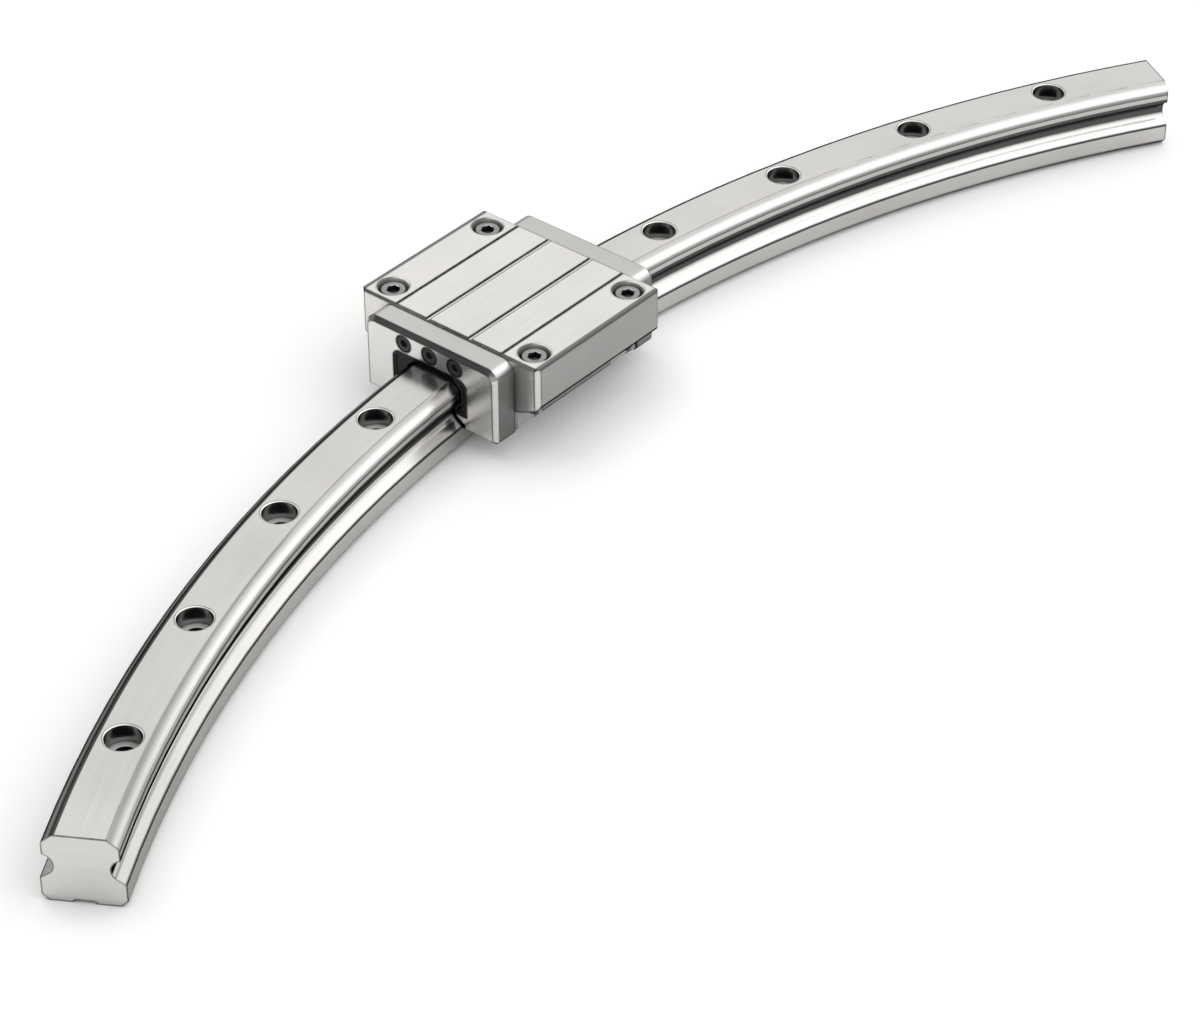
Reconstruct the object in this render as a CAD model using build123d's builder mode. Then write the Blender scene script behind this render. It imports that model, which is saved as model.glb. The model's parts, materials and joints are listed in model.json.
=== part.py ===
import os
from math import cos, degrees, radians, sin, sqrt

from build123d import *

os.makedirs("parts", exist_ok=True)

# Rail: its path, section and mounting holes.
rail_radius = 500.0
rail_sweep = 63.0
rail_width = 24.0
rail_height = 23.5
rail_head_width = 21.8
rail_edge_run = 3.3
rail_edge_drop = 2.8
rail_edge_round = 1.4
rail_nose_depth = 7.1
rail_base_side = 6.0
rail_base_chamfer = 2.0
shoulder_drop = 1.8
shoulder_run = 2.7
groove_lip_run = 1.45
groove_lip_drop = 0.75
groove_radius = 3.9
relief_width = 6.6
relief_depth = 0.9
relief_slope = 0.5
rail_hole_diameter = 7.0
rail_counterbore_diameter = 11.0
rail_counterbore_depth = 6.2
rim_chamfer = 0.3
rail_hole_pitch = 6.25
middle_hole_pitch = 7.95
holes_each_side = 4

# Carriage body: a flanged block that straddles the rail.
block_width = 74.0
body_length = 60.0
block_top = 34.0
flange_edge_level = 19.5
flange_belly_offset = 31.0
flange_belly_level = 16.0
flange_root_level = 14.2
leg_width = 51.0
leg_bottom = 5.8
channel_roof_gap = 1.0
channel_side_gap = 0.9
channel_foot_gap = 0.9
channel_foot_height = 9.0
channel_step_height = 10.2
flange_edge_radius = 0.8
flange_corner_chamfer = 1.5
flange_foot_chamfer = 0.8
body_end_chamfer = 0.7
outer_mark_offset = 21.9
outer_mark_width = 0.7
outer_mark_depth = 0.4
inner_mark_offset = 8.7
inner_mark_width = 1.4
inner_mark_depth = 0.4

# Flange screws and the holes they sit in.
flange_bolt_across = 58.8
flange_bolt_margin = 7.25
flange_screw_diameter = 5.0
flange_screw_length = 16.0
flange_thread_length = 2.0
flange_head_diameter = 8.5
flange_head_height = 5.0
flange_head_recess = 1.0
flange_socket_size = 4.0
flange_socket_depth = 2.5
flange_hole_clearance = 0.25
flange_head_clearance = 0.85
head_chamfer = 0.4
thread_relief = 0.05
tip_chamfer = 0.5

# End plates with their screws.
plate_thickness = 9.0
plate_width = 54.8
plate_step = 0.8
plate_corner_radius = 4.5
plate_foot_radius = 2.0
plate_face_chamfer = 1.5
plate_rail_gap = 0.8
end_screw_height = 28.5
end_screw_spacing = 10.6
end_screw_diameter = 3.0
end_screw_length = 12.0
end_thread_length = 5.0
end_head_diameter = 5.9
end_head_height = 2.2
end_head_recess = 0.1
end_socket_size = 2.5
end_socket_depth = 1.3
end_head_clearance = 0.1
end_hole_clearance = 0.1
end_hole_spare = 1.0

# Rubber seals let into the outer faces of the end plates.
seal_width = 30.6
seal_top = 25.0
seal_bottom = 11.5
seal_thickness = 2.2
seal_recess = 0.3
seal_corner_radius = 3.0
seal_side_gap = 0.05
seal_rail_gap = 0.35

# Balls that roll between the rail's grooves and the carriage's legs.
ball_radius = 3.1
ball_gap = 0.05
balls_in_row = 8
ball_pitch = 6.8

# The arc's axis stands where the whole object lies evenly about the origin.
half_sweep = rail_sweep / 2
half_length = body_length / 2
farthest_edge = rail_radius + block_width / 2
nearest_edge = (rail_radius - rail_width / 2) * cos(radians(half_sweep))
arc_centre = -(farthest_edge + nearest_edge) / 2
arc_axis = Axis((0, arc_centre, 0), (0, 0, 1))
track = arc_centre + rail_radius
flange_bolt_along = body_length - 2 * flange_bolt_margin
overall_length = body_length + 2 * plate_thickness
cut_half_angle = degrees(overall_length / rail_radius)


def radial_plane(angle):
    """Upright plane through the arc's axis, its own X pointing outward along the radius."""
    outward = (cos(radians(angle)), sin(radians(angle)), 0)
    along = (sin(radians(angle)), -cos(radians(angle)), 0)
    return Plane(origin=(0, arc_centre, 0), x_dir=outward, z_dir=along)


def arc_point(radius, angle, height):
    """Point at a radius, turned by an angle from the middle of the arc, at a height."""
    turn = radians(90 + angle)
    return (radius * cos(turn), arc_centre + radius * sin(turn), height)


def socket_screw(diameter, length, thread_length, head_diameter, head_height, socket_size, socket_depth):
    """Socket-head screw that points down, the middle of its head's top at the origin."""
    with BuildPart() as screw:
        with BuildSketch(Plane.XY):
            Circle(head_diameter / 2)
        extrude(amount=-head_height)
        chamfer(screw.edges().group_by(Axis.Z)[-1], head_chamfer)
        with BuildSketch(Plane.XY.offset(-head_height)):
            Circle(diameter / 2)
        extrude(amount=thread_length - length)
        with BuildSketch(Plane.XY.offset(thread_length - head_height - length)):
            Circle(diameter / 2 - thread_relief)
        extrude(amount=-thread_length)
        chamfer(screw.edges().group_by(Axis.Z)[0], tip_chamfer)
        with BuildSketch(Plane.XY):
            RegularPolygon(socket_size / 2, 6, major_radius=False)
        extrude(amount=-socket_depth, mode=Mode.SUBTRACT)
    return screw.part


# Section of the rail about its own middle: the right half, then its mirror image.
head_half = rail_head_width / 2
base_half = rail_width / 2
shoulder_foot = (base_half, rail_base_chamfer + rail_base_side)
groove_foot = (base_half - shoulder_run, shoulder_foot[1] + shoulder_drop)
nose_foot = (head_half, rail_height - rail_nose_depth)
nose_top = (head_half, rail_height - rail_edge_drop)
flat_end = (head_half - rail_edge_run, rail_height)
groove_top = (head_half - groove_lip_run, nose_foot[1] - groove_lip_drop)
groove_level = (groove_foot[1] + groove_top[1]) / 2
groove_half_height = (groove_top[1] - groove_foot[1]) / 2
groove_bulge = groove_radius - sqrt(groove_radius**2 - groove_half_height**2)
groove_floor = (groove_foot[0] + groove_top[0]) / 2 - groove_bulge

with BuildSketch() as rail_outline:
    with BuildLine():
        Polyline(
            (0, rail_height),
            (0, relief_depth),
            (relief_width / 2 - relief_slope, relief_depth),
            (relief_width / 2, 0),
            (base_half - rail_base_chamfer, 0),
            (base_half, rail_base_chamfer),
            shoulder_foot,
            groove_foot,
        )
        ThreePointArc(groove_foot, (groove_floor, groove_level), groove_top)
        Polyline(groove_top, nose_foot, nose_top, flat_end, (0, rail_height))
    make_face()
    mirror(about=Plane.YZ)
    upper_corners = rail_outline.vertices().filter_by(lambda v: v.Y > nose_top[1] - rim_chamfer)
    head_corners = upper_corners.filter_by(lambda v: abs(v.X) > rail_edge_round)
    fillet(head_corners, rail_edge_round)

# Guide rail: the section turned round the arc, with counterbored holes along its middle.
side_angles = [middle_hole_pitch + i * rail_hole_pitch for i in range(holes_each_side)]
hole_angles = [-a for a in reversed(side_angles)] + [0.0] + side_angles
hole_places = [arc_point(rail_radius, a, rail_height) for a in hole_angles]

with BuildPart() as guide_rail:
    with BuildSketch(radial_plane(90 - half_sweep)):
        with Locations((rail_radius, 0)):
            add(rail_outline.sketch)
    revolve(axis=arc_axis, revolution_arc=rail_sweep)
    with Locations(*hole_places):
        CounterBoreHole(
            rail_hole_diameter / 2,
            rail_counterbore_diameter / 2,
            rail_counterbore_depth,
        )
    top_circles = guide_rail.edges().filter_by(GeomType.CIRCLE).group_by(Axis.Z)[-1]
    rims = top_circles.filter_by(lambda e: e.radius < rail_width / 2)
    chamfer(rims, rim_chamfer)
guide_rail.part.label = "guide_rail"
export_step(guide_rail.part, "parts/guide_rail.step")

# Carriage body: bellied flanges over legs, with the rail's channel and the ball grooves round the arc.
roof = rail_height + channel_roof_gap
side_half = head_half + channel_side_gap
foot_half = base_half + channel_foot_gap
ball_offset = groove_floor + ball_gap + ball_radius
pocket_half_angle = degrees(balls_in_row * ball_pitch / 2 / rail_radius)
front_end = Plane(origin=(-half_length, track, 0), x_dir=(0, -1, 0), z_dir=(-1, 0, 0))
rear_end = Plane(origin=(half_length, track, 0), x_dir=(0, 1, 0), z_dir=(1, 0, 0))
top_plane = Plane(origin=(0, track, block_top))
end_screw_spots = [(n, end_screw_height) for n in (-end_screw_spacing, 0, end_screw_spacing)]
tapped_depth = end_screw_length + end_head_height + end_head_recess - plate_thickness + end_hole_spare

with BuildPart() as carriage_body:
    with BuildSketch(front_end):
        with BuildLine():
            Polyline(
                (0, leg_bottom),
                (leg_width / 2, leg_bottom),
                (leg_width / 2, flange_root_level),
            )
            ThreePointArc(
                (leg_width / 2, flange_root_level),
                (flange_belly_offset, flange_belly_level),
                (block_width / 2, flange_edge_level),
            )
            Polyline(
                (block_width / 2, flange_edge_level),
                (block_width / 2, block_top),
                (0, block_top),
                (0, leg_bottom),
            )
        make_face()
        mirror(about=Plane.YZ)
    extrude(amount=-body_length)
    lengthwise = carriage_body.edges().filter_by(Axis.X)
    flange_edges = lengthwise.filter_by(lambda e: abs(e.center().Y - track) > leg_width / 2 + rim_chamfer)
    chamfer(flange_edges.group_by(Axis.Z)[0], flange_foot_chamfer)
    upright = carriage_body.edges().filter_by(Axis.Z)
    corners = upright.filter_by(lambda e: abs(e.center().Y - track) > leg_width / 2 + rim_chamfer)
    chamfer(corners, flange_corner_chamfer)
    fillet(carriage_body.edges().filter_by(Axis.X).group_by(Axis.Z)[-1], flange_edge_radius)
    chamfer(carriage_body.edges().filter_by(Axis.Y).group_by(Axis.Z)[-1], body_end_chamfer)
    with BuildSketch(radial_plane(90 - cut_half_angle)):
        with Locations((rail_radius, 0)):
            Polygon(
                (-foot_half, 0),
                (foot_half, 0),
                (foot_half, channel_foot_height),
                (side_half, channel_step_height),
                (side_half, roof),
                (-side_half, roof),
                (-side_half, channel_step_height),
                (-foot_half, channel_foot_height),
                align=None,
            )
    revolve(axis=arc_axis, revolution_arc=2 * cut_half_angle, mode=Mode.SUBTRACT)
    with BuildSketch(radial_plane(90 - pocket_half_angle)):
        with Locations((rail_radius - ball_offset, groove_level), (rail_radius + ball_offset, groove_level)):
            Circle(ball_radius + ball_gap)
    revolve(axis=arc_axis, revolution_arc=2 * pocket_half_angle, mode=Mode.SUBTRACT)
    with BuildSketch(top_plane):
        with Locations((0, -outer_mark_offset), (0, outer_mark_offset)):
            Rectangle(body_length, outer_mark_width)
    extrude(amount=-outer_mark_depth, mode=Mode.SUBTRACT)
    with BuildSketch(top_plane):
        with Locations((0, -inner_mark_offset), (0, inner_mark_offset)):
            Rectangle(body_length, inner_mark_width)
    extrude(amount=-inner_mark_depth, mode=Mode.SUBTRACT)
    with Locations(top_plane):
        with GridLocations(flange_bolt_along, flange_bolt_across, 2, 2):
            CounterBoreHole(
                flange_screw_diameter / 2 + flange_hole_clearance,
                flange_head_diameter / 2 + flange_head_clearance,
                flange_head_recess + flange_head_height,
            )
    chamfer(carriage_body.edges().filter_by(GeomType.CIRCLE).group_by(Axis.Z)[-1], rim_chamfer)
    with Locations(front_end):
        with Locations(*end_screw_spots):
            Hole(end_screw_diameter / 2 + end_hole_clearance, depth=tapped_depth)
    with Locations(rear_end):
        with Locations(*end_screw_spots):
            Hole(end_screw_diameter / 2 + end_hole_clearance, depth=tapped_depth)
carriage_body.part.label = "carriage_body"
export_step(carriage_body.part, "parts/carriage_body.step")

# End plate at the front: rounded plate with a chamfered face, cut to clear the rail and take the seal.
plate_face = front_end.offset(plate_thickness)

with BuildPart() as end_plate_front:
    with BuildSketch(plate_face) as plate_outline:
        with Locations((0, leg_bottom)):
            Rectangle(plate_width, block_top - plate_step - leg_bottom, align=(Align.CENTER, Align.MIN))
        fillet(plate_outline.vertices().group_by(Axis.Y)[-1], plate_corner_radius)
        fillet(plate_outline.vertices().group_by(Axis.Y)[0], plate_foot_radius)
    extrude(amount=-plate_thickness)
    chamfer(end_plate_front.faces().sort_by(Axis.X)[0].edges(), plate_face_chamfer)
    with BuildSketch(radial_plane(90)):
        with Locations((rail_radius, 0)):
            add(rail_outline.sketch)
        offset(amount=plate_rail_gap)
    revolve(axis=arc_axis, revolution_arc=cut_half_angle, mode=Mode.SUBTRACT)
    with BuildSketch(plate_face) as recess_outline:
        with Locations((0, seal_bottom)):
            Rectangle(seal_width, seal_top - seal_bottom, align=(Align.CENTER, Align.MIN))
        fillet(recess_outline.vertices().group_by(Axis.Y)[-1], seal_corner_radius)
    extrude(amount=-seal_recess - seal_thickness, mode=Mode.SUBTRACT)
    with Locations(plate_face):
        with Locations(*end_screw_spots):
            CounterBoreHole(
                end_screw_diameter / 2 + end_hole_clearance,
                end_head_diameter / 2 + end_head_clearance,
                end_head_recess + end_head_height,
            )
end_plate_front.part.label = "end_plate_front"
export_step(end_plate_front.part, "parts/end_plate_front.step")

with BuildPart() as end_plate_rear:
    mirror(end_plate_front.part, about=Plane.YZ)
end_plate_rear.part.label = "end_plate_rear"
export_step(end_plate_rear.part, "parts/end_plate_rear.step")

# Rubber seal at the front: fills the recess and follows the rail's section closely.
with BuildPart() as end_seal_front:
    with BuildSketch(plate_face.offset(-seal_recess)) as seal_outline:
        with Locations((0, seal_bottom + seal_side_gap)):
            Rectangle(
                seal_width - 2 * seal_side_gap,
                seal_top - seal_bottom - 2 * seal_side_gap,
                align=(Align.CENTER, Align.MIN),
            )
        fillet(seal_outline.vertices().group_by(Axis.Y)[-1], seal_corner_radius - seal_side_gap)
    extrude(amount=-seal_thickness)
    with BuildSketch(radial_plane(90)):
        with Locations((rail_radius, 0)):
            add(rail_outline.sketch)
        offset(amount=seal_rail_gap)
    revolve(axis=arc_axis, revolution_arc=cut_half_angle, mode=Mode.SUBTRACT)
end_seal_front.part.label = "end_seal_front"
export_step(end_seal_front.part, "parts/end_seal_front.step")

with BuildPart() as end_seal_rear:
    mirror(end_seal_front.part, about=Plane.YZ)
end_seal_rear.part.label = "end_seal_rear"
export_step(end_seal_rear.part, "parts/end_seal_rear.step")

# Screws: four in the flanges and three through each end plate.
flange_screw = socket_screw(
    flange_screw_diameter,
    flange_screw_length,
    flange_thread_length,
    flange_head_diameter,
    flange_head_height,
    flange_socket_size,
    flange_socket_depth,
)
for end_name, along in (("front", -flange_bolt_along / 2), ("rear", flange_bolt_along / 2)):
    for side_name, across in (("outer", flange_bolt_across / 2), ("inner", -flange_bolt_across / 2)):
        name = f"flange_screw_{end_name}_{side_name}"
        placed = Location((along, track + across, block_top - flange_head_recess)) * flange_screw
        placed.label = name
        export_step(placed, f"parts/{name}.step")

end_screw = socket_screw(
    end_screw_diameter,
    end_screw_length,
    end_thread_length,
    end_head_diameter,
    end_head_height,
    end_socket_size,
    end_socket_depth,
)
for end_name, end_plane in (("front", front_end), ("rear", rear_end)):
    head_plane = end_plane.offset(plate_thickness - end_head_recess)
    for side_name, spot in zip(("left", "middle", "right"), end_screw_spots):
        name = f"end_screw_{end_name}_{side_name}"
        placed = head_plane.location * Location((spot[0], spot[1], 0)) * end_screw
        placed.label = name
        export_step(placed, f"parts/{name}.step")

# Ball rows: one on the outer side of the rail and one on the inner side.
row_angles = [degrees((i - (balls_in_row - 1) / 2) * ball_pitch / rail_radius) for i in range(balls_in_row)]
for name, radius in (
    ("ball_row_outer", rail_radius + ball_offset),
    ("ball_row_inner", rail_radius - ball_offset),
):
    with BuildPart() as ball_row:
        with Locations(*[arc_point(radius, a, groove_level) for a in row_angles]):
            Sphere(ball_radius)
    ball_row.part.label = name
    export_step(ball_row.part, f"parts/{name}.step")
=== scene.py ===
"""Curved linear guide: steel finishes, threaded screws, wiper seals, studio and camera.

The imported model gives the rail, the carriage and their places. This script dresses them,
models the screws and the seals in more detail, and sets the studio and the camera.
"""

from __future__ import annotations

import json
import logging
import math
from dataclasses import dataclass
from enum import Enum
from typing import Any, Callable, Iterable, Sequence

import bmesh
import bpy
from mathutils import Matrix, Vector


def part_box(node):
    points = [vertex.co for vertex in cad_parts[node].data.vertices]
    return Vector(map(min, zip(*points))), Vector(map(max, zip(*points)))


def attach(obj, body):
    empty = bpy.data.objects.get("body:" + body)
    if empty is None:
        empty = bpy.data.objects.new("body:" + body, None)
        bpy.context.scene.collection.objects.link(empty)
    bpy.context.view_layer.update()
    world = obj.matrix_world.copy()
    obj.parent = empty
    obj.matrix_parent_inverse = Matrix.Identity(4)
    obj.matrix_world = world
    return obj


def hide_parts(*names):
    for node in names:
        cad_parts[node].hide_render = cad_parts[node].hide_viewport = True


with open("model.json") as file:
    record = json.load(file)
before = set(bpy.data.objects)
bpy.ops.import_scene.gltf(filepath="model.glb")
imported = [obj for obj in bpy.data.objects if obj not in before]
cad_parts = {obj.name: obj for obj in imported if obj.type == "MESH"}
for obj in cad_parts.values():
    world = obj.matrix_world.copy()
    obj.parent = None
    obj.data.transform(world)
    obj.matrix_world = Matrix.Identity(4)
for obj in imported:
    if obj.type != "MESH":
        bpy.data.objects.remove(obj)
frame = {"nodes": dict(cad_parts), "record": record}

LOG = logging.getLogger("curved_guide")
MM = 0.001
CARRIAGE = "carriage"
GREEN_FALL = 0.4
NOISE_SPAN = (0.3, 0.7)
SHADER_SAMPLES = 8
SERRATION_POINTS = 3
WELD = 1e-7
Colour = tuple[float, float, float, float]
Span = tuple[float, float]
Point = tuple[float, float, float]
Piece = bpy.types.Object
Socket = bpy.types.NodeSocket


class Grain(Enum):
    """Direction of a finish's tool marks."""

    ARC = "round the rail's arc"
    ALONG = "along the carriage"
    ACROSS = "across the carriage"
    TURNED = "round a screw's axis"
    NONE = "no direction"


class Facing(Enum):
    """Way a screw's head looks: its turn about Y from upright, and which end of which axis it is at."""

    UP = (0.0, 2, 1)
    FRONT = (-math.pi / 2, 0, 0)
    REAR = (math.pi / 2, 0, 1)


class Blend(Enum):
    """What a Mix node mixes, with the places of its two inputs and of its output."""

    VECTOR = (4, 5, 1)
    RGBA = (6, 7, 2)


def grey(value: float, warmth: float = 0.0) -> Colour:
    """Gives a grey, a little warmer where asked.

    Args:
        value: Brightness in linear light.
        warmth: Share by which blue falls behind red.

    Returns:
        The colour with full alpha.
    """
    return (value, value * (1.0 - warmth * GREEN_FALL), value * (1.0 - warmth), 1.0)


class Bench:
    """Places and links the nodes of one node tree."""

    def __init__(self, tree: bpy.types.NodeTree) -> None:
        """Starts with an empty tree."""
        self.tree = tree
        self.tree.nodes.clear()

    def node(self, kind: str, settings: dict[str, Any] | None = None, **sockets: Any) -> bpy.types.Node:
        """Adds a node.

        Args:
            kind: Blender's name of the node's type.
            settings: Properties of the node itself.
            sockets: Values or links by input name, with underscores for spaces.

        Returns:
            The new node.
        """
        made = self.tree.nodes.new(kind)
        for name, value in (settings or {}).items():
            setattr(made, name, value)
        for name, value in sockets.items():
            self.feed(made.inputs[name.replace("_", " ")], value)
        return made

    def feed(self, target: Socket, value: Any) -> None:
        """Links an output to a socket, or sets the socket's own value."""
        if isinstance(value, Socket):
            self.tree.links.new(value, target)
        else:
            target.default_value = value

    def maths(self, operation: str, *values: Any, clamp: bool = False) -> Socket:
        """Adds a Math node.

        Args:
            operation: The node's operation.
            values: Its inputs in order.
            clamp: Keeps the result between 0 and 1.

        Returns:
            The result's socket.
        """
        made = self.node("ShaderNodeMath", {"operation": operation, "use_clamp": clamp})
        for target, value in zip(made.inputs, values):
            self.feed(target, value)
        return made.outputs[0]

    def vector(self, operation: str, *values: Any, result: str = "Vector") -> Socket:
        """Adds a Vector Math node.

        Args:
            operation: The node's operation.
            values: Its inputs in order.
            result: Name of the output wanted.

        Returns:
            The result's socket.
        """
        made = self.node("ShaderNodeVectorMath", {"operation": operation})
        for target, value in zip(made.inputs, values):
            self.feed(target, value)
        return made.outputs[result]

    def scaled(self, vector: Any, factor: Socket) -> Socket:
        """Scales a vector."""
        made = self.node("ShaderNodeVectorMath", {"operation": "SCALE"}, Scale=factor)
        self.feed(made.inputs[0], vector)
        return made.outputs["Vector"]

    def split(self, vector: Socket) -> Sequence[Socket]:
        """Gives a vector's X, Y and Z."""
        return self.node("ShaderNodeSeparateXYZ", Vector=vector).outputs

    def flat(self, first: Socket, second: Socket) -> Socket:
        """Makes a level vector of two values."""
        return self.node("ShaderNodeCombineXYZ", X=first, Y=second).outputs[0]

    def length(self, vector: Socket) -> Socket:
        """Gives a vector's length."""
        return self.vector("LENGTH", vector, result="Value")

    def alike(self, first: Any, second: Any) -> Socket:
        """Gives the dot product of two directions, 1 where they are the same."""
        return self.vector("DOT_PRODUCT", first, second, result="Value")

    def size(self, value: Socket) -> Socket:
        """Gives a value without its sign."""
        return self.maths("ABSOLUTE", value)

    def gap(self, first: Any, second: Any) -> Socket:
        """Gives how far two values are apart."""
        return self.size(self.maths("SUBTRACT", first, second))

    def product(self, first: Any, *others: Any) -> Any:
        """Multiplies values in their order."""
        for other in others:
            first = self.maths("MULTIPLY", first, other)
        return first

    def where(self, share: Socket, value: Any, otherwise: Any = 1.0) -> Socket:
        """Gives a value where the share is 1, and another where the share is 0."""
        change = self.product(share, self.maths("SUBTRACT", value, otherwise))
        return self.maths("ADD", change, otherwise)

    def noise(self, place: Socket, scale: float, detail: float = 2.0) -> Socket:
        """Adds a noise texture and gives its value."""
        return self.node("ShaderNodeTexNoise", Vector=place, Scale=scale, Detail=detail).outputs["Fac"]

    def stretch(self, value: Any, source: Span, target: Span) -> Socket:
        """Maps a value from one range to another, clamped."""
        ends = {"From_Min": source[0], "From_Max": source[1], "To_Min": target[0], "To_Max": target[1]}
        return self.node("ShaderNodeMapRange", Value=value, **ends).outputs["Result"]

    def mix(self, kind: Blend, share: Socket, first: Any, second: Any) -> Socket:
        """Mixes two colours or two vectors.

        Args:
            kind: What is mixed.
            share: Share of the second one.
            first: Colour or vector where the share is 0.
            second: Colour or vector where the share is 1.

        Returns:
            The mixed colour or vector.
        """
        first_input, second_input, output = kind.value
        made = self.node("ShaderNodeMix", {"data_type": kind.name})
        for place, value in ((0, share), (first_input, first), (second_input, second)):
            self.feed(made.inputs[place], value)
        return made.outputs[output]


class FaceBench(Bench):
    """Bench of a material, with the object coordinates and the normal of its surface."""

    def __init__(self, tree: bpy.types.NodeTree) -> None:
        """Starts with the nodes that every finish reads."""
        super().__init__(tree)
        self.place = self.node("ShaderNodeTexCoord").outputs["Object"]
        self.normal = self.node("ShaderNodeNewGeometry").outputs["Normal"]
        self.facing = self.split(self.normal)

    def rise(self) -> Socket:
        """Gives how far a face looks up or down, 0 on upright faces and 1 on level ones."""
        return self.size(self.facing[2])


@dataclass(frozen=True)
class Finish:
    """Looks of one ground, brushed, turned or moulded surface, with lengths in metres.

    Tool marks run along the grain and turn level on faces that cut across it. Painted shade darkens
    the sharp edges and deep places. A finish may also paint shade on the long sides, the bevels round
    the top, the level top and a line beside the long edges. Spans say where each painted shade sets in.
    """

    name: str
    colour: Colour
    edge_colour: Colour
    roughness: float
    grain: Grain
    metallic: float = 1.0
    streak_width: float = 0.0005
    streak_length: float = 0.02
    streak_shade: float = 0.05
    streak_bump: float = 0.03
    bump_depth: float = 0.2
    fine_share: float = 0.6
    wide_ratio: float = 0.22
    mark_detail: float = 3.0
    cut_limit: float = 0.8
    cloud_size: float = 0.03
    cloud_shade: float = 0.04
    roughness_spread: float = 0.06
    # Painted dark outline along the sharp edges, kept faint on slanted bevels.
    edge_width: float = 0.001
    edge_strength: float = 0.9
    edge_span: Span = (0.995, 0.95)
    uneven_scale: float = 400.0
    uneven_span: Span = (0.75, 1.0)
    bevel_dark: float = 0.25
    bevel_rise: float = 0.55
    bevel_span: Span = (0.3, 0.42)
    # Painted shade on the long sides, the top bevels, a line beside the long edges and the level top.
    side_shade: float = 1.0
    side_span: Span = (0.6, 0.95)
    rim_shade: float = 1.0
    cross_rim_shade: float = 1.0
    rim_span: Span = (0.15, 0.4)
    track: float = 0.0
    line_from: float | None = None
    line_width: float = 0.0006
    line_shade: float = 0.3
    line_limit: float = 0.5
    top_shade: float = 1.0
    top_span: Span = (0.85, 0.97)
    # Painted shade in deep places, found by ambient occlusion.
    crevice_depth: float = 0.006
    crevice_shade: float = 0.35
    open_span: Span = (0.15, 0.85)
    arc_centre: float = 0.0

    def material(self, centre: Vector | None = None, facing: Facing = Facing.UP) -> bpy.types.Material:
        """Makes the material.

        Args:
            centre: Point on the axis of turned marks.
            facing: Way that axis looks.

        Returns:
            The material, ready to be given to a piece.
        """
        made = bpy.data.materials.new(self.name)
        made.use_nodes = True
        bench = FaceBench(made.node_tree)
        marks_place = self.marks_place(bench, centre, facing)
        fine = bench.noise(marks_place, 1.0 / self.streak_width, self.mark_detail)
        wide = bench.noise(marks_place, self.wide_ratio / self.streak_width)
        wide_part = bench.product(wide, 1.0 - self.fine_share)
        marks = bench.maths("ADD", bench.product(fine, self.fine_share), wide_part)
        cloud = bench.noise(bench.place, 1.0 / self.cloud_size, self.mark_detail)
        # The colour carries the painted shade and light, then a painted dark outline along the sharp edges.
        tinted = bench.scaled(self.colour[:3], self.shade(bench, marks, cloud))
        colour = bench.mix(Blend.RGBA, self.edge_mask(bench), tinted, self.edge_colour)
        smoothest = self.roughness - self.roughness_spread
        rough = bench.maths(
            "ADD",
            bench.stretch(marks, NOISE_SPAN, (smoothest, self.roughness)),
            bench.stretch(cloud, NOISE_SPAN, (0.0, self.roughness_spread)),
        )
        depth = self.streak_width * self.bump_depth
        bump = bench.node("ShaderNodeBump", Height=marks, Strength=self.streak_bump, Distance=depth)
        shader = bench.node(
            "ShaderNodeBsdfPrincipled",
            Base_Color=colour,
            Metallic=self.metal(bench),
            Roughness=rough,
            # The painted colour also tints and dims the grazing reflections.
            Specular_Tint=colour,
            Normal=bump.outputs["Normal"],
        )
        bench.node("ShaderNodeOutputMaterial", Surface=shader.outputs["BSDF"])
        return made

    def shade(self, bench: FaceBench, marks: Socket, cloud: Socket) -> Socket:
        """Gives the brightness of the colour: tool marks and soft noise times the painted shade and light.

        Args:
            bench: The material's nodes.
            marks: Noise of the tool marks.
            cloud: Wide, soft noise.

        Returns:
            The brightness, near 1 on open faces.
        """
        marked = bench.stretch(marks, NOISE_SPAN, (1.0 - self.streak_shade, 1.0 + self.streak_shade / 2))
        clouded = bench.stretch(cloud, NOISE_SPAN, (-self.cloud_shade, self.cloud_shade))
        parts = [bench.maths("ADD", marked, clouded), self.painted_occlusion(bench)]
        if self.side_shade < 1.0:
            parts.append(self.painted_side_shade(bench))
        for axis, rim_shade in ((1, self.rim_shade), (0, self.cross_rim_shade)):
            if rim_shade < 1.0:
                parts.append(self.painted_bevel_shade(bench, axis, rim_shade))
        if self.line_from is not None:
            parts.append(self.painted_edge_line(bench))
        if self.top_shade < 1.0:
            parts.append(self.painted_top_shade(bench))
        return bench.product(*parts, self.painted_light(bench))

    def painted_side_shade(self, bench: FaceBench) -> Socket:
        """Gives the painted shade of a face by how much it looks sideways, 1 where it doesn't."""
        return bench.stretch(bench.size(bench.facing[1]), self.side_span, (1.0, self.side_shade))

    def painted_bevel_shade(self, bench: FaceBench, axis: int, rim_shade: float) -> Socket:
        """Gives the painted shade of the bevels that lean up and along one axis, 1 on flat faces."""
        lean = bench.size(bench.product(bench.facing[axis], bench.facing[2]))
        return bench.stretch(lean, self.rim_span, (1.0, rim_shade))

    def painted_edge_line(self, bench: FaceBench) -> Socket:
        """Gives the painted shade of a dark line beside the long edges, 1 elsewhere and on the long sides.
        """
        reach = bench.gap(bench.split(bench.place)[1], self.track)
        line_span = (self.line_from, self.line_from + self.line_width)
        line = bench.stretch(reach, line_span, (1.0, self.line_shade))
        off_side = bench.maths("LESS_THAN", bench.size(bench.facing[1]), self.line_limit)
        return bench.maths("MAXIMUM", line, bench.maths("SUBTRACT", 1.0, off_side))

    def painted_top_shade(self, bench: FaceBench) -> Socket:
        """Gives the painted shade of faces that look straight up, 1 elsewhere."""
        return bench.stretch(bench.facing[2], self.top_span, (1.0, self.top_shade))

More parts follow.
